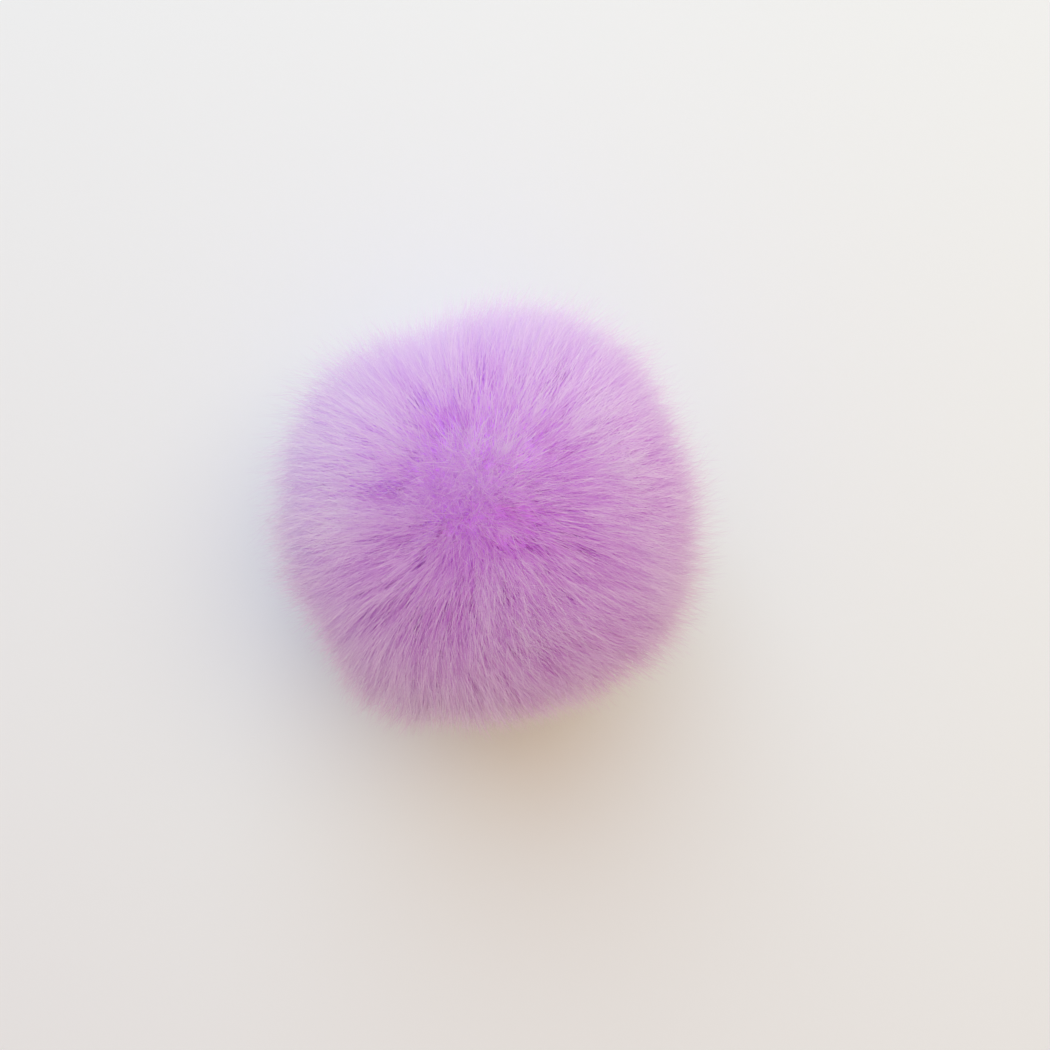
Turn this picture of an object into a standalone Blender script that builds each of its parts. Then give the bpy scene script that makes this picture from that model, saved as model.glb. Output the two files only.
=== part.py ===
"""Faux-fur pom pom lying on a surface: one soft ball whose solid reaches the tips of its pile.

Metres, +Z up. The origin is on the surface, under the middle of the ball. X is its width, Y its depth.
The ball is a sphere that is lobed where the pile bunches, dented where it parts, and flat
where it rests.
"""

import math
from collections import namedtuple

import bmesh
import bpy
from mathutils import Matrix, Vector

# Driving dimensions of the ball, over the tips of the pile.
WIDTH = 0.0800
DEPTH = 0.0776
HEIGHT = 0.0690
FLAT_SPOT_RADIUS = 0.0150

# An icosphere this fine has edges of about 2.5 mm, enough for the narrowest parting.
SPHERE_SUBDIVISIONS = 5
# Points this near to each other, as the cut of the flat spot leaves them, become one on its rim.
RIM_MERGE = 0.0012
RIM_SHARP_ANGLE = 15.0

# The crown is where the pile stands on end and from where it fans out to all sides.
CROWN_AZIMUTH = 172.0
CROWN_ELEVATION = 79.0

# Bunches (rise above zero) and partings (below zero) of the pile. Azimuth is counted from +X
# towards +Y, elevation up from the ball's middle, spread is the angle over which a zone fades,
# and rise is how far the tips stand out from, or sink into, an even ball.
PileZone = namedtuple("PileZone", "label azimuth elevation spread rise")
PILE_ZONES = (
    PileZone("back_right_bunch", 54, 8, 20, 0.0026),
    PileZone("back_left_bunch", 148, 4, 18, 0.0022),
    PileZone("left_bunch", 178, 0, 13, 0.0012),
    PileZone("front_left_bunch", 238, 2, 15, 0.0030),
    PileZone("front_right_bunch", 328, 4, 24, 0.0018),
    PileZone("right_bunch", 6, 14, 16, 0.0014),
    PileZone("back_notch", 109, 4, 15, -0.0034),
    PileZone("front_left_notch", 214, 0, 11, -0.0036),
    PileZone("front_notch", 284, 0, 15, -0.0012),
    PileZone("crown_whorl", 172, 79, 12, -0.0018),
    PileZone("right_parting", 8, 72, 9, -0.0012),
    PileZone("back_parting", 115, 55, 8, -0.0020),
    PileZone("left_parting", 166, 60, 8, -0.0018),
    PileZone("far_parting", 87, 45, 8, -0.0014),
    PileZone("front_parting", 293, 41, 8, -0.0014),
    PileZone("under_front_bunch", 262, -38, 24, 0.0012),
    PileZone("under_back_notch", 70, -42, 14, -0.0012),
)

# Locks of pile run out from the crown like gores. Each set goes a whole number of times round
# the crown, and its ridges bend by its swirl between the crown and the ball's middle.
LockSet = namedtuple("LockSet", "label ridges swirl depth")
LOCK_SETS = (
    LockSet("broad_locks", 9, 0.9, 0.00030),
    LockSet("middle_locks", 14, -1.6, 0.00025),
    LockSet("narrow_locks", 21, 2.3, 0.00020),
)

# The finish: lilac acrylic pile, sRGB.
PILE_COLOUR = (0.80, 0.63, 0.85)
PILE_ROUGHNESS = 0.9


def clear_objects():
    for obj in list(bpy.data.objects):
        bpy.data.objects.remove(obj)


def make_collection(name):
    collection = bpy.data.collections.new(name)
    bpy.context.scene.collection.children.link(collection)
    return collection


def to_linear(colour):
    return [c / 12.92 if c <= 0.04045 else ((c + 0.055) / 1.055) ** 2.4 for c in colour]


def pile_material():
    material = bpy.data.materials.new("lilac_pile")
    material.use_nodes = True
    shader = material.node_tree.nodes["Principled BSDF"]
    shader.inputs["Base Color"].default_value = (*to_linear(PILE_COLOUR), 1.0)
    shader.inputs["Roughness"].default_value = PILE_ROUGHNESS
    shader.inputs["Metallic"].default_value = 0.0
    material.diffuse_color = shader.inputs["Base Color"].default_value
    return material


def direction(azimuth, elevation):
    """The unit vector at an azimuth and an elevation in degrees."""
    across = math.cos(math.radians(elevation))
    return Vector(
        (
            across * math.cos(math.radians(azimuth)),
            across * math.sin(math.radians(azimuth)),
            math.sin(math.radians(elevation)),
        )
    )


def zone_rise(out):
    """How far all bunches and partings together move the tips in the direction out."""
    rise = 0.0
    for zone in PILE_ZONES:
        away = out.angle(direction(zone.azimuth, zone.elevation))
        rise += zone.rise * math.exp(-((away / math.radians(zone.spread)) ** 2))
    return rise


def lock_rise(out, to_crown):
    """The ridges of the locks, which fade at the crown and at the point opposite."""
    seen = to_crown @ out
    from_crown = math.acos(max(-1.0, min(1.0, seen.z)))
    round_crown = math.atan2(seen.y, seen.x)
    rise = 0.0
    for locks in LOCK_SETS:
        turn = locks.ridges * round_crown + locks.swirl * from_crown
        rise += locks.depth * math.sin(turn)
    return rise * math.sin(from_crown) ** 2


def shape_pile(mesh):
    """Lobe the sphere, cut its flat spot, and bring it to its size on the surface."""
    radius = WIDTH / 2
    crown = direction(CROWN_AZIMUTH, CROWN_ELEVATION)
    to_crown = crown.rotation_difference(Vector((0, 0, 1))).to_matrix()
    for vertex in mesh.verts:
        out = vertex.co.normalized()
        vertex.co = out * (radius + zone_rise(out) + lock_rise(out, to_crown))

    flat_height = -math.sqrt(radius**2 - FLAT_SPOT_RADIUS**2)
    bmesh.ops.bisect_plane(
        mesh,
        geom=mesh.verts[:] + mesh.edges[:] + mesh.faces[:],
        plane_co=(0, 0, flat_height),
        plane_no=(0, 0, -1),
        clear_outer=True,
    )
    bmesh.ops.remove_doubles(mesh, verts=mesh.verts, dist=RIM_MERGE)
    rim = [edge for edge in mesh.edges if edge.is_boundary]
    for edge in rim:
        for vertex in edge.verts:
            vertex.co.z = flat_height
    bmesh.ops.holes_fill(mesh, edges=rim, sides=0)
    fit_to_size(mesh)


def fit_to_size(mesh):
    """Scale to WIDTH, DEPTH and HEIGHT, centred over the origin and resting at zero."""
    lowest = Vector(min(v.co[axis] for v in mesh.verts) for axis in range(3))
    highest = Vector(max(v.co[axis] for v in mesh.verts) for axis in range(3))
    under_middle = Vector(((lowest.x + highest.x) / 2, (lowest.y + highest.y) / 2, lowest.z))
    size = highest - lowest
    bmesh.ops.translate(mesh, verts=mesh.verts, vec=-under_middle)
    scale = Matrix.Diagonal((WIDTH / size.x, DEPTH / size.y, HEIGHT / size.z, 1.0))
    bmesh.ops.transform(mesh, matrix=scale, verts=mesh.verts)


def add_fur_ball(collection):
    ball = bmesh.new()
    bmesh.ops.create_icosphere(ball, subdivisions=SPHERE_SUBDIVISIONS, radius=WIDTH / 2)
    shape_pile(ball)
    bmesh.ops.recalc_face_normals(ball, faces=ball.faces)
    mesh = bpy.data.meshes.new("fur_ball")
    ball.to_mesh(mesh)
    ball.free()
    mesh.shade_smooth()
    mesh.set_sharp_from_angle(angle=math.radians(RIM_SHARP_ANGLE))
    mesh.materials.append(pile_material())
    obj = bpy.data.objects.new("fur_ball", mesh)
    collection.objects.link(obj)
    return obj


def main():
    clear_objects()
    add_fur_ball(make_collection("pom_pom"))


main()
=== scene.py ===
import math

import bmesh
import bpy
import numpy as np
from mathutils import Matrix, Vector
from mathutils.bvhtree import BVHTree
from mathutils.kdtree import KDTree


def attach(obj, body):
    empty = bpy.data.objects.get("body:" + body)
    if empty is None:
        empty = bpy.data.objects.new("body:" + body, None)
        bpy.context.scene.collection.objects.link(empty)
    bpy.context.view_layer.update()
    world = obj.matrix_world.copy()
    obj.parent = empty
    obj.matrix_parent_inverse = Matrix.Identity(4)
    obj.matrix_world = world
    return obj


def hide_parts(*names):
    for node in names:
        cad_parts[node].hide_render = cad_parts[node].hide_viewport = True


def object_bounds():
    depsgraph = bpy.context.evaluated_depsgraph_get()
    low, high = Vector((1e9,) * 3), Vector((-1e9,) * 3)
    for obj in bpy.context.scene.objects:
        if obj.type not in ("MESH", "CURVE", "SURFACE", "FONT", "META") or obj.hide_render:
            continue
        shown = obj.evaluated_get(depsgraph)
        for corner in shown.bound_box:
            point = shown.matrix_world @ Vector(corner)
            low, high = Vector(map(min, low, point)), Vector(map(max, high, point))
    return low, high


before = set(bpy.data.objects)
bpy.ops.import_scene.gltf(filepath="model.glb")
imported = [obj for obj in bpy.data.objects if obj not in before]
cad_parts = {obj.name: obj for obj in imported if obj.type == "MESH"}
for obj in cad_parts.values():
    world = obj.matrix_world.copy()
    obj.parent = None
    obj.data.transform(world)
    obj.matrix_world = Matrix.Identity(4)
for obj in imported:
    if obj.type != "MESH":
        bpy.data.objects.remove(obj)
cadLow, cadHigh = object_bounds()
print("frame loaded:", sorted(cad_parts))

# The crown is a short line where the pile stands on end and from where it fans out. Angles are in
# degrees, azimuth counted from +X towards +Y, and lengths are in metres.
ball = {
    "node": "fur_ball",
    "slot": "lilac_fur",
    "middleShare": 0.48,  # height of the ball's middle, as a share of the whole height
    "crownLine": ((128, 74), (184, 81)),  # azimuth and elevation of its two ends
    "spareReach": 0.03,  # for a direction in which the solid isn't met
    "seed": 11,
}

rng = np.random.default_rng(ball["seed"])
middle = np.array([0.0, 0.0, ball["middleShare"] * cadHigh[2]])


def toLinear(hexColour):  # sRGB hex to linear RGBA
    channels = [int(hexColour[i:i + 2], 16) / 255 for i in (1, 3, 5)]
    return [c / 12.92 if c <= 0.04045 else ((c + 0.055) / 1.055) ** 2.4 for c in channels] + [1.0]


def addNode(tree, kind, settings=None, inputs=None):
    node = tree.nodes.new(kind)
    for key, value in (settings or {}).items():
        setattr(node, key, value)
    for key, value in (inputs or {}).items():
        if isinstance(value, bpy.types.NodeSocket):
            tree.links.new(value, node.inputs[key])
        else:
            node.inputs[key].default_value = value
    return node


def newMaterial(name):
    material = bpy.data.materials.new(name)
    material.use_nodes = True
    tree = material.node_tree
    tree.nodes.clear()
    shader = addNode(tree, "ShaderNodeBsdfPrincipled")
    addNode(tree, "ShaderNodeOutputMaterial", inputs={"Surface": shader.outputs["BSDF"]})
    return material, tree, shader


def addRamp(tree, factor, stops):
    ramp = addNode(tree, "ShaderNodeValToRGB", inputs={"Fac": factor})
    elements = ramp.color_ramp.elements
    while len(elements) < len(stops):
        elements.new(0.5)
    for element, (position, colour) in zip(elements, stops):
        element.position = position
        element.color = toLinear(colour)
    return ramp.outputs["Color"]


# Directions over the ball are rows of unit vectors, seen from its middle.
def unit(rows):
    return rows / np.maximum(np.linalg.norm(rows, axis=-1, keepdims=True), 1e-9)


def along(rows, normals):  # the part of each row that lies at right angles to its normal
    return rows - normals * np.sum(rows * normals, -1, keepdims=True)


def direction(azimuth, elevation):
    azimuth, elevation = math.radians(azimuth), math.radians(elevation)
    across = math.cos(elevation)
    return np.array([across * math.cos(azimuth), across * math.sin(azimuth), math.sin(elevation)])


def closeTo(rows, azimuth, elevation, spread):  # 1 at the spot, and fading over the spread
    away = np.degrees(np.arccos(np.clip(rows @ direction(azimuth, elevation), -1, 1)))
    return np.exp(-(away / spread) ** 2)


crownStart, crownEnd = [direction(*spot) for spot in ball["crownLine"]]


def crownOf(rows):  # the nearest place on the crown's line
    line = crownEnd - crownStart
    share = np.clip((rows - crownStart) @ line / (line @ line), 0, 1)
    return unit(crownStart + share[:, None] * line)


def fromCrown(rows):  # degrees
    return np.degrees(np.arccos(np.clip(np.sum(rows * crownOf(rows), 1), -1, 1)))


def awayFromCrown(rows):
    return unit(along(-crownOf(rows), rows))


# Strands stand a little closer round the crown where a layer asks for it, and thin out underneath.
scatter = {
    "surplus": 1.6,  # spots laid for each one that is kept
    "shake": 0.35,  # of their spacing
    "crownSpread": 14,
    "footSpread": 0.3,
    "thinnerAtFoot": 0.35,
}


def spreadOverBall(count, atCrown=0.0):  # even spots on a golden-angle spiral, shaken a little
    more = int(count * (1 + atCrown) * scatter["surplus"])
    i = np.arange(more) + 0.5
    z = 1 - 2 * i / more
    turn = i * math.pi * (3 - math.sqrt(5))
    across = np.sqrt(1 - z * z)
    rows = np.stack((across * np.cos(turn), across * np.sin(turn), z), 1)
    spacing = math.sqrt(4 * math.pi / more)
    rows = unit(rows + rng.normal(0, scatter["shake"] * spacing, rows.shape))
    atFoot = np.exp(-((rows[:, 2] + 1) / scatter["footSpread"]) ** 2)
    weight = 1 + atCrown * np.exp(-(fromCrown(rows) / scatter["crownSpread"]) ** 2)
    weight -= scatter["thinnerAtFoot"] * atFoot
    draw = rng.random(more) ** (1 / weight)
    return rows[np.sort(np.argsort(draw)[-count:])]


def softField(scale, seed, waves=14):  # smooth noise of about unit size, the same for every layer
    own = np.random.default_rng(seed)
    axes = unit(own.normal(size=(waves, 3))) * scale * own.uniform(0.6, 1.6, (waves, 1))
    phases = own.uniform(0, 2 * math.pi, waves)
    return lambda rows: np.sin(rows @ axes.T + phases).sum(1) * math.sqrt(2 / waves)


def nearest(rows, centres):
    tree = KDTree(len(centres))
    for i, centre in enumerate(centres):
        tree.insert(centre, i)
    tree.balance()
    return np.array([tree.find(row)[1] for row in rows])


def skinTree(node):
    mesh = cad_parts[node].data
    corners = [v.co for v in mesh.vertices]
    return BVHTree.FromPolygons(corners, [tuple(p.vertices) for p in mesh.polygons])


skin = skinTree(ball["node"])


def reachOf(rows):  # how far the CAD solid reaches from the ball's middle in each direction
    start = Vector(middle)
    return np.array([skin.ray_cast(start, Vector(row))[3] or ball["spareReach"] for row in rows])


# Partings are short lines from which the tips lean away to both sides, so that the deeper part of
# the pile shows, with the shade painted on it. Bearing is a line's direction seen from above, counted
# from +X. Length and width are half sizes, push is how far the tips lean, sink is how much shorter
# the strands are, as a share of their reach, and the last column is how much shade is painted on
# them.
partingColumns = ("azimuth", "elevation", "bearing", "length", "width", "push", "sink", "paintedShade")
partings = [
    dict(zip(partingColumns, row))
    for row in (
        (0, 86, 6, 13, 4.0, 3, 0.020, 0.08),
        (180, 80, 20, 7, 5.0, 2, 0.010, 0.04),
        (138, 75, 108, 7, 3.0, 2, 0.030, 0.34),
        (318, 78, -14, 9, 4.0, 3, 0.015, 0.04),
        (114, 60, 10, 5, 2.6, 9, 0.180, 1.40),
        (96, 60, 25, 8, 3.0, 5, 0.040, 0.14),
        (87, 46, 20, 5, 2.6, 7, 0.090, 0.75),
        (161, 61, 186, 8, 2.4, 6, 0.090, 0.90),
        (293, 41, 12, 13, 5.0, 5, 0.030, 0.12),
    )
]

# Swells are broad zones where the pile is longer, or below zero shorter, and painted paler, which
# stands in for light, or below zero darker, which is painted shade.
swellsAndPaintedLight = (  # azimuth, elevation, spread, pale, rise as a share of the reach
    (225, 85, 16, -0.25, -0.020),
    (300, 76, 14, 0.18, 0.000),
    (10, 60, 13, -0.16, -0.005),
    (283, 58, 10, -0.14, 0.000),
    (320, 46, 16, -0.10, 0.000),
    (293, 42, 20, 0.06, 0.000),
    (268, 28, 24, 0.14, 0.000),
    (214, 2, 8, 0.00, -0.022),
    (345, 45, 26, -0.10, 0.000),
    (27, 35, 14, 0.18, 0.000),
    (6, 26, 14, 0.18, 0.000),
    (52, 37, 8, 0.20, 0.000),
    (28, 33, 7, 0.14, 0.000),
    (176, 60, 7, -0.14, 0.000),
    (174, 32, 27, 0.42, 0.000),
    (228, 50, 20, -0.12, 0.000),
    (130, 38, 26, 0.04, 0.000),
    (82, 34, 28, -0.02, 0.000),
    (240, 20, 16, 0.26, 0.000),
    (256, 6, 12, 0.00, 0.040),
    (338, 6, 14, 0.00, 0.035),
    (66, 6, 9, 0.00, 0.032),
    (45, 6, 8, 0.00, -0.020),
    (139, 6, 13, 0.00, 0.045),
)

# Streaks are the many narrow gaps between locks, each in line with the fall of the pile. The shade
# in them is painted, strongest away from the window and faint on the side that faces it.
streaks = {
    "count": 2200,
    "length": 3.4,
    "width": 0.8,
    "push": 1.0,
    "sink": 0.010,
    "paintedShade": 0.62,
    "vary": (0.3, 1.5),  # of the depth
    "faint": (112, 25),  # azimuth and elevation of the side where they hardly show
    "faintBy": 0.7,
}

# Lean is how far the tips tilt away from the crown, at each distance from it in degrees. Noise
# varies it and turns its heading, and bend is how much of it comes near the tip.
lie = {
    "leanStops": ((0, 0), (5, 4), (12, 7), (28, 11), (50, 16), (90, 19), (130, 10), (180, 2)),
    "leanNoise": 5.0,
    "swirlNoise": 13.0,
    "leanField": softField(6, 41),
    "swirlField": softField(5, 42),
    "bend": 1.5,
    "crownSpread": 7.0,  # the pile stands on end this far round the crown
    "crownStray": 1.2,  # and strays this much more there
    "partSharpness": 2,  # how soon the push grows to both sides of a parting
    "partPush": 1.6,
}


def nearCrown(rows):
    return np.exp(-(fromCrown(rows) / lie["crownSpread"]) ** 2)


def partingAt(rows, spots, lines, sizes):  # closeness to each line, and push away from it
    sides = np.cross(spots, lines)
    away = rows - spots
    alongLine = np.sum(away * lines, 1) / np.radians(sizes["length"])
    acrossLine = np.sum(away * sides, 1) / np.radians(sizes["width"])
    near = np.exp(-alongLine ** 2 - acrossLine ** 2) * (np.sum(rows * spots, 1) > 0)
    strength = np.radians(sizes["push"]) * np.tanh(acrossLine * lie["partSharpness"])
    strength = strength * near * lie["partPush"]
    return near, strength[:, None] * sides


def partPile(rows):  # the push, sink and deepening of all partings and streaks at these rows
    push = np.zeros_like(rows)
    sink = np.zeros(len(rows))
    paintedShade = np.zeros(len(rows))
    for parting in partings:
        spot = direction(parting["azimuth"], parting["elevation"])
        line = unit(along(direction(parting["bearing"], 0), spot))
        near, moved = partingAt(rows, spot[None, :], line[None, :], parting)
        push += moved
        sink += near * parting["sink"]
        # shade painted into the parting
        paintedShade += near * parting["paintedShade"]
    # pale paints light on the swells, and below zero shade
    for azimuth, elevation, spread, pale, rise in swellsAndPaintedLight:
        near = closeTo(rows, azimuth, elevation, spread)
        paintedShade -= pale * near
        sink -= rise * near
    home = nearest(rows, streakSpots)
    near, moved = partingAt(rows, streakSpots[home], streakLines[home], streaks)
    near *= streakDepth[home]
    push += moved * streakDepth[home][:, None]
    sink += near * streaks["sink"]
    # shade painted into the streak
    paintedShade += near * streaks["paintedShade"]
    return along(push, rows), sink, paintedShade


streakSpots = spreadOverBall(streaks["count"])
streakLines = awayFromCrown(streakSpots)
streakDepth = rng.uniform(*streaks["vary"], streaks["count"]) * (1 - nearCrown(streakSpots))
# Their painted shade fades on the side that faces the window.
streakDepth *= 1 - streaks["faintBy"] * (streakSpots @ direction(*streaks["faint"]))

# In even zones, the side that faces the window and the crown, strands differ less in shade, in depth
# and in how they take the light. Place is azimuth, elevation and spread, and depth is drawn to
# evenDepth, which on the window side paints the pile paler, as light falls there.
evenZones = (
    {"place": (96, 32, 42), "shade": 0.8, "light": 0.95, "depth": 0.45, "evenDepth": 0.8},
    {"place": (160, 80, 20), "shade": 0.5, "light": 0.7, "depth": 0.4, "evenDepth": 0.6},
)

# Low at the front the pile is sheared shorter, so its edge is crisp there.
shearedSide = {"place": (260, 0, 58), "cut": 0.64}


def stray(rows, spread):  # a random shift of the tips
    spread = np.radians(spread * (1 + lie["crownStray"] * nearCrown(rows)))
    return along(rng.normal(0, 1, rows.shape) * spread[:, None], rows)


def leanOf(rows):  # how far the tips shift from the roots' direction, at right angles to it
    stops = np.array(lie["leanStops"], float)
    lean = np.interp(fromCrown(rows), stops[:, 0], stops[:, 1])
    lean += lie["leanField"](rows) * lie["leanNoise"]
    away = awayFromCrown(rows)
    swirl = np.radians(lie["swirlField"](rows) * lie["swirlNoise"])[:, None]
    heading = away * np.cos(swirl) + np.cross(rows, away) * np.sin(swirl)
    return np.tan(np.radians(lean))[:, None] * heading


def layPile(roots, spread):
    shift = leanOf(roots)
    push, sink, paintedShade = partPile(unit(roots + shift * 0.5))
    return shift + push + stray(roots, spread), sink, paintedShade


def fan(roots, shift, steps):  # directions at each step along the strand
    bend = np.asarray(steps)[None, :, None] ** lie["bend"]
    return unit(roots[:, None, :] + shift[:, None, :] * bend)


# Tufts are broad bunches, locks are the fine ones inside them. Pull is how far the strands of one
# gather to its tip, and length and shade are how much bunches differ.
tufts = {"count": 700, "pull": 0.35, "stray": 7.0, "length": 0.012, "shade": 0.28}
locks = {"count": 10000, "pull": 0.55, "stray": 6.0, "length": 0.024, "shade": 0.96}


def makeBunches(settings, parent=None):
    n = settings["count"]
    roots = spreadOverBall(n)
    shift, _, _ = layPile(roots, settings["stray"])
    bunches = {
        "roots": roots,
        "tips": unit(roots + shift),
        "length": rng.normal(0, settings["length"], n),
        "shade": rng.normal(0, settings["shade"], n),
        "settings": settings,
    }
    if parent is not None:
        home = nearest(roots, parent["roots"])
        pull = parent["settings"]["pull"]
        bunches["tips"] = unit(bunches["tips"] * (1 - pull) + parent["tips"][home] * pull)
        bunches["length"] += parent["length"][home]
        bunches["shade"] += parent["shade"][home]
    return bunches


# A strand is drawn from its foot, which is this share of the way from root to tip, because what is
# below doesn't show. Root, shortest and longest are how far out roots and tips lie, as shares of
# the reach, and tail is how slowly the strands that are longer than the shortest ones thin out.
# Gather is how far they follow their locks, and lower is how near the floor they come. Lift and
# bodyNormal are how far light from above reaches their sides, and how evenly.
longPile = {
    "count": 36000,
    "parts": 1,
    "atCrown": 1.5,
    "foot": 0.55,
    "thickness": 0.00015,
    "root": 0.66,
    "shortest": 0.86,
    "tail": 0.03,
    "longest": 0.98,
    "gather": 1.0,
    "stray": 3.5,
    "wave": 0.0003,
    "shade": 0.35,
    "lower": 0.0003,
    "lift": 0.9,
    "bodyNormal": 0.65,
}

underPile = {
    "count": 12000,
    "parts": 1,
    "atCrown": 1.5,
    "foot": 0.3,
    "thickness": 0.00026,
    "root": 0.64,
    "shortest": 0.8,
    "tail": 0.02,
    "longest": 0.88,
    "gather": 1.0,
    "stray": 6.0,
    "wave": 0.0002,
    "shade": 0.4,
    "lower": 0.0008,
    "lift": 0.6,
    "bodyNormal": 0.6,
}

topPile = {
    "count": 86000,
    "parts": 3,
    "atCrown": 1.5,
    "foot": 0.66,
    "thickness": 0.000105,
    "root": 0.66,
    "shortest": 0.90,
    "tail": 0.045,
    "longest": 1.05,
    "gather": 0.9,
    "stray": 3.0,
    "wave": 0.0003,
    "shade": 0.34,
    "lower": 0.0003,
    "lift": 1.2,
    "bodyNormal": 0.88,
}

finePile = {
    "count": 60000,
    "parts": 2,
    "atCrown": 1.5,
    "foot": 0.75,
    "thickness": 0.000039,
    "root": 0.66,
    "shortest": 0.985,
    "tail": 0.05,
    "longest": 1.13,
    "gather": 0.1,
    "stray": 6.0,
    "wave": 0.0004,
    "shade": 0.20,
    "lower": 0.0004,
    "lift": 1.8,
    "bodyNormal": 0.95,
}

# What all layers share. The strands' UV map holds shades side by side, in columns, and depth in the
# pile from deepest to palest.
growth = {
    "pullSteps": (0, 0.6, 0.8, 1.0),  # shares of a strand's length
    "pullThere": (0.15, 1.0, 1.0, 0.6),  # share of a bunch's pull
    "pullVary": (0.6, 1.15),
    "waveTurns": (3, 8),
    "lowerVary": (0.3, 1.6),
    "thicknessVary": (0.7, 1.25),
    "midShade": 0.5,
    "shadeRange": (0.01, 0.99),
    "shadeStep": 0.13,
    "deepest": 0.62,  # shares of the reach
    "palest": 1.06,
    "shadeColumns": 64,
}


def growStrands(settings, bunches):
    n = settings["count"]
    roots = spreadOverBall(n, settings["atCrown"])
    steps = np.array([settings["foot"], 1.0])
    shift, sink, paintedShade = layPile(roots, settings["stray"])
    own = fan(roots, shift, steps)
    home = nearest(roots, bunches["roots"])
    lockRoots = bunches["roots"][home]
    lockTips = bunches["tips"][home]
    lockShift = lockTips / np.sum(lockTips * lockRoots, 1)[:, None] - lockRoots
    lockPath = fan(lockRoots, lockShift, steps)
    pull = bunches["settings"]["pull"] * np.interp(steps, growth["pullSteps"], growth["pullThere"])
    pull = pull[None, :, None] * rng.uniform(*growth["pullVary"], n)[:, None, None]
    pull *= settings["gather"]
    heading = unit(own * (1 - pull) + lockPath * pull)

    length = settings["shortest"] + rng.exponential(settings["tail"], n)
    cut = max(settings["longest"] - 1, 0) * shearedSide["cut"] * closeTo(roots, *shearedSide["place"])
    length = np.minimum(length + bunches["length"][home], settings["longest"] - cut) - sink
    share = settings["root"] + (length - settings["root"])[:, None] * steps[None, :]
    reach = reachOf(roots)[:, None] * (1 - steps) + reachOf(heading[:, -1])[:, None] * steps
    paths = middle + heading * (reach * share)[:, :, None]
    depth = np.clip((share - growth["deepest"]) / (growth["palest"] - growth["deepest"]), 0, 1)
    step = np.full(n, growth["shadeStep"])
    even = np.zeros(n)
    for zone in evenZones:
        near = closeTo(roots, *zone["place"])
        # On the window side, drawing the depth to a paler one paints light there.
        depth += (zone["evenDepth"] - depth) * zone["depth"] * near[:, None]
        step *= 1 - zone["shade"] * near
        even += (1 - even) * zone["light"] * near

    side = unit(np.cross(roots, unit(shift + 1e-6)))
    phase = rng.uniform(0, 2 * math.pi, (n, 1))
    turns = steps[None, :] * rng.uniform(*growth["waveTurns"], (n, 1))
    wave = np.sin(phase + turns) * settings["wave"]
    wave *= np.minimum(steps * 2, 1)[None, :]
    paths += side[:, None, :] * wave[:, :, None]
    floorGap = settings["lower"] * rng.uniform(*growth["lowerVary"], (n, 1))
    paths[:, :, 2] = np.maximum(paths[:, :, 2], floorGap)

    # A strand's shade is its own tone, which differs at random, with the shade and light that
    # partings, streaks and swells paint on it.
    differ = bunches["shade"][home] + rng.normal(0, settings["shade"], n)
    shade = np.clip(growth["midShade"] + step * differ - paintedShade, *growth["shadeRange"])
    return {
        "paths": paths,
        "side": side,
        "shade": shade,
        "depth": depth,
        "roots": roots,
        "even": even,
    }


# A strand has three sides and a cap. Its corners are three round the foot and one at the tip.
strandFaces = np.array([(0, 1, 3), (1, 2, 3), (2, 0, 3), (2, 1, 0)])
mapAcross = np.array([(0, 1, 0.5), (1, 2, 1.5), (2, 3, 2.5), (2, 1, 0)]) / 3  # of a column
mapStops = np.array([(0, 0, 1), (0, 0, 1), (0, 0, 1), (0, 0, 0)])  # 0 at the foot, 1 at the tip


def strandMesh(name, strands, settings, chosen):
    paths = strands["paths"][chosen]
    n = len(paths)
    tangent = unit(paths[:, 1] - paths[:, 0])
    first = unit(along(strands["side"][chosen], tangent))
    second = np.cross(tangent, first)
    turn = rng.uniform(0, 2 * math.pi, (n, 1))
    radius = settings["thickness"] / 2 * rng.uniform(*growth["thicknessVary"], (n, 1))

    # Normals lean from the strand's own towards those of the whole ball, and those are lifted,
    # because light that has scattered through the pile reaches its sides as well.
    lifted = unit(unit(paths - middle) + np.array([0.0, 0.0, settings["lift"]]))
    even = strands["even"][chosen][:, None]
    share = settings["bodyNormal"] + (1 - settings["bodyNormal"]) * even

    corners = np.empty((n, 4, 3))
    normals = np.empty_like(corners)
    for k in range(3):
        angle = turn + k * 2 * math.pi / 3
        around = first * np.cos(angle) + second * np.sin(angle)
        corners[:, k] = paths[:, 0] + around * radius
        normals[:, k] = around * (1 - share) + lifted[:, 0] * share
    corners[:, 3] = paths[:, 1]
    normals[:, 3] = lifted[:, 1]

    faces = strandFaces[None] + (np.arange(n) * 4)[:, None, None]
    column = np.floor(strands["shade"][chosen] * growth["shadeColumns"])
    across = (column[:, None, None] + mapAcross[None]) / growth["shadeColumns"]
    uv = np.stack((across, strands["depth"][chosen][:, mapStops]), -1)

    mesh = bpy.data.meshes.new(name)
    mesh.vertices.add(n * 4)
    mesh.vertices.foreach_set("co", corners.ravel().astype(np.float32))
    mesh.loops.add(faces.size)
    mesh.loops.foreach_set("vertex_index", faces.ravel().astype(np.int32))
    mesh.polygons.add(faces.size // 3)
    mesh.polygons.foreach_set("loop_start", np.arange(0, faces.size, 3, dtype=np.int32))
    mesh.update(calc_edges=True)
    layer = mesh.uv_layers.new(name="OFBake")
    layer.data.foreach_set("uv", uv.ravel().astype(np.float32))
    mesh.shade_smooth()
    mesh.normals_split_custom_set_from_vertices(unit(normals).reshape(-1, 3))
    return mesh


def addPiece(name, mesh, material):
    piece = bpy.data.objects.new(name, mesh)
    bpy.context.scene.collection.objects.link(piece)
    mesh.materials.append(material)
    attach(piece, "root")
    return piece


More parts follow.
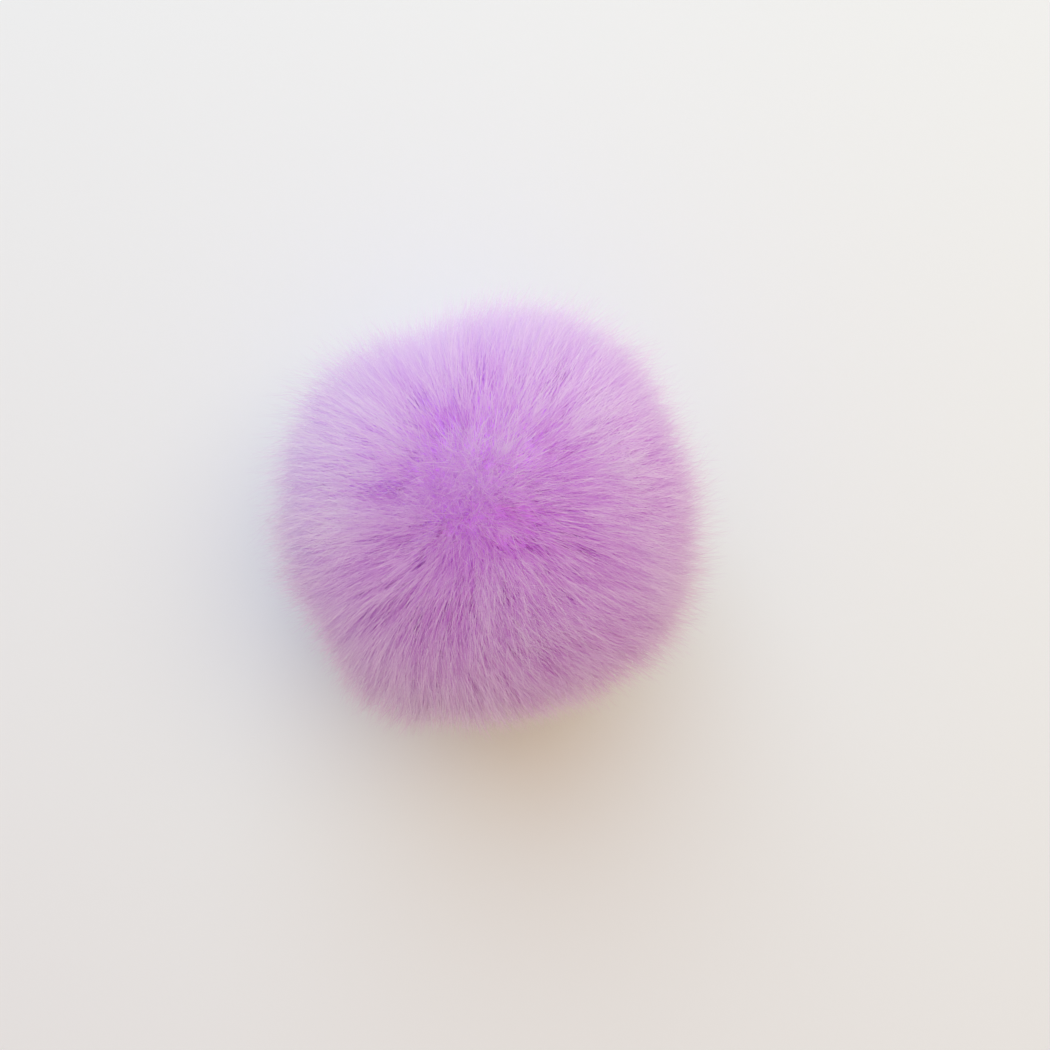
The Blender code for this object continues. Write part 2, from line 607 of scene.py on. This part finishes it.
# Acrylic pile of faux fur: fine spun fibre, dyed through, brushed and sheared. Its colour by depth
# is painted shade and light: deep and warm at the root, where light is coloured by many fibres, and
# pale and matt at the tip. Stops run from the deepest to the palest depth, for the darkest and the
# palest strands.
pileFinish = {
    "darkStops": (
        (0.3, "#bb4ac6"),
        (0.45, "#c562ce"),
        (0.65, "#d087d4"),
        (0.9, "#e4c2e1"),
        (1.0, "#dbb5de"),
    ),
    "paleStops": (
        (0.3, "#d475d9"),
        (0.45, "#df96df"),
        (0.65, "#e9c5e7"),
        (0.9, "#f4e6f1"),
        (1.0, "#ecd4ea"),
    ),
    "roughness": 0.6,
    "specular": 0.12,
}


def acrylicPile():
    material, tree, shader = newMaterial("lilac_acrylic_pile")
    spot = addNode(tree, "ShaderNodeUVMap", {"uv_map": "OFBake"})
    parts = addNode(tree, "ShaderNodeSeparateXYZ", inputs={"Vector": spot.outputs["UV"]})
    # The ramps paint shade deep in the pile and light at the tips, by depth.
    dark = addRamp(tree, parts.outputs["Y"], pileFinish["darkStops"])
    pale = addRamp(tree, parts.outputs["Y"], pileFinish["paleStops"])
    mixed = addNode(
        tree, "ShaderNodeMix", {"data_type": "RGBA"}, {"Factor": parts.outputs["X"], 6: dark, 7: pale}
    )
    tree.links.new(mixed.outputs[2], shader.inputs["Base Color"])
    shader.inputs["Roughness"].default_value = pileFinish["roughness"]
    shader.inputs["Specular IOR Level"].default_value = pileFinish["specular"]
    return material


# Knitted backing under the felted foot of the pile: matt, deep lilac, seen only down a parting.
backing = {
    "share": 0.72,  # of the reach
    "subdivisions": 4,
    "lowest": 0.001,
    "colour": "#e88cf4",
    "deepColour": "#d070e4",
    "patch": 0.0012,  # size of the felt's clumps
    "roughness": 0.9,
    "fill": 0.6,  # of the ball
}


def feltedBacking():
    material, tree, shader = newMaterial("lilac_felted_backing")
    place = addNode(tree, "ShaderNodeTexCoord")
    noise = addNode(
        tree,
        "ShaderNodeTexNoise",
        inputs={"Vector": place.outputs["Object"], "Scale": 1 / backing["patch"], "Detail": 4.0},
    )
    stops = ((0.3, backing["deepColour"]), (0.7, backing["colour"]))
    tree.links.new(addRamp(tree, noise.outputs["Fac"], stops), shader.inputs["Base Color"])
    shader.inputs["Roughness"].default_value = backing["roughness"]
    return material


def backingMesh():
    shape = bmesh.new()
    bmesh.ops.create_icosphere(shape, subdivisions=backing["subdivisions"], radius=1.0)
    rows = np.array([v.co for v in shape.verts])
    reach = reachOf(rows) * backing["share"]
    for vertex, row, far in zip(shape.verts, rows, reach):
        vertex.co = Vector(middle + row * far)
        vertex.co.z = max(vertex.co.z, backing["lowest"])
    bmesh.ops.recalc_face_normals(shape, faces=shape.faces)
    mesh = bpy.data.meshes.new("backing")
    shape.to_mesh(mesh)
    shape.free()
    mesh.shade_smooth()
    return mesh


backingPiece = addPiece("felted_backing", backingMesh(), feltedBacking())
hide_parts(ball["node"])
print("backing made")

tuftSet = makeBunches(tufts)
lockSet = makeBunches(locks, tuftSet)
print("bunches laid out")

pileMaterial = acrylicPile()
piles = {"under": underPile, "long": longPile, "top": topPile, "fine": finePile}
for pileName, settings in piles.items():
    strands = growStrands(settings, lockSet)
    turnRound = np.arctan2(strands["roots"][:, 1], strands["roots"][:, 0])
    for number, chosen in enumerate(np.array_split(np.argsort(turnRound), settings["parts"])):
        name = f"{pileName}_pile_{number + 1}"
        mesh = strandMesh(name, strands, settings, chosen)
        piece = addPiece(name, mesh, pileMaterial)
        piece.visible_shadow = pileName == "under"
        print(name, len(mesh.polygons), "triangles")

stage = {
    "floorSize": 6.0,
    "floorColour": "#edecee",
    "floorRoughness": 0.8,
    "cameraHeight": 0.300,
    "cameraX": 0.00694,
    "cameraY": -0.00164,
    "lens": 50.0,
    "sensor": 36.0,
    "backdrop": "#e8e8ea",
    "roomColour": "#ffdbda",
    "roomStrength": 0.516,
    "lightDistance": 1.2,
}

# A cool window beyond the ball and a warm lamp on its right.
lights = {
    "window": {"azimuth": 100, "elevation": 42, "size": 1.3, "power": 11.4, "colour": "#b9e7ff"},
    "lamp": {"azimuth": 28, "elevation": 61, "size": 1.0, "power": 5.0, "colour": "#fdffc1"},
}


def addFloor():  # pale matt card
    shape = bmesh.new()
    bmesh.ops.create_grid(shape, x_segments=1, y_segments=1, size=stage["floorSize"] / 2)
    mesh = bpy.data.meshes.new("floor")
    shape.to_mesh(mesh)
    shape.free()
    floor = bpy.data.objects.new("floor", mesh)
    bpy.context.scene.collection.objects.link(floor)
    material, tree, shader = newMaterial("pale_card")
    shader.inputs["Base Color"].default_value = toLinear(stage["floorColour"])
    shader.inputs["Roughness"].default_value = stage["floorRoughness"]
    mesh.materials.append(material)


def addLights():
    for name, light in lights.items():
        data = bpy.data.lights.new(name, "AREA")
        data.shape = "DISK"
        data.size = light["size"]
        data.energy = light["power"]
        data.color = toLinear(light["colour"])[:3]
        lamp = bpy.data.objects.new(name, data)
        heading = direction(light["azimuth"], light["elevation"])
        lamp.location = Vector(heading * stage["lightDistance"])
        lamp.rotation_euler = lamp.location.to_track_quat("Z", "Y").to_euler()
        bpy.context.scene.collection.objects.link(lamp)


def addRoom():  # light from all round, and a pale backdrop where the camera sees past the floor
    world = bpy.data.worlds.new("room")
    world.use_nodes = True
    tree = world.node_tree
    tree.nodes.clear()
    path = addNode(tree, "ShaderNodeLightPath")
    room = addNode(
        tree,
        "ShaderNodeBackground",
        inputs={"Color": toLinear(stage["roomColour"]), "Strength": stage["roomStrength"]},
    )
    backdrop = addNode(tree, "ShaderNodeBackground", inputs={"Color": toLinear(stage["backdrop"])})
    shown = addNode(
        tree,
        "ShaderNodeMixShader",
        inputs={
            0: path.outputs["Is Camera Ray"],
            1: room.outputs["Background"],
            2: backdrop.outputs["Background"],
        },
    )
    addNode(tree, "ShaderNodeOutputWorld", inputs={"Surface": shown.outputs["Shader"]})
    bpy.context.scene.world = world


def addCamera():
    data = bpy.data.cameras.new("camera")
    data.lens = stage["lens"]
    data.sensor_width = stage["sensor"]
    camera = bpy.data.objects.new("camera", data)
    camera.location = (stage["cameraX"], stage["cameraY"], stage["cameraHeight"])
    bpy.context.scene.collection.objects.link(camera)
    bpy.context.scene.camera = camera


addFloor()
addLights()
addRoom()
addCamera()
bpy.context.scene.view_settings.view_transform = "Standard"
print("stage set")
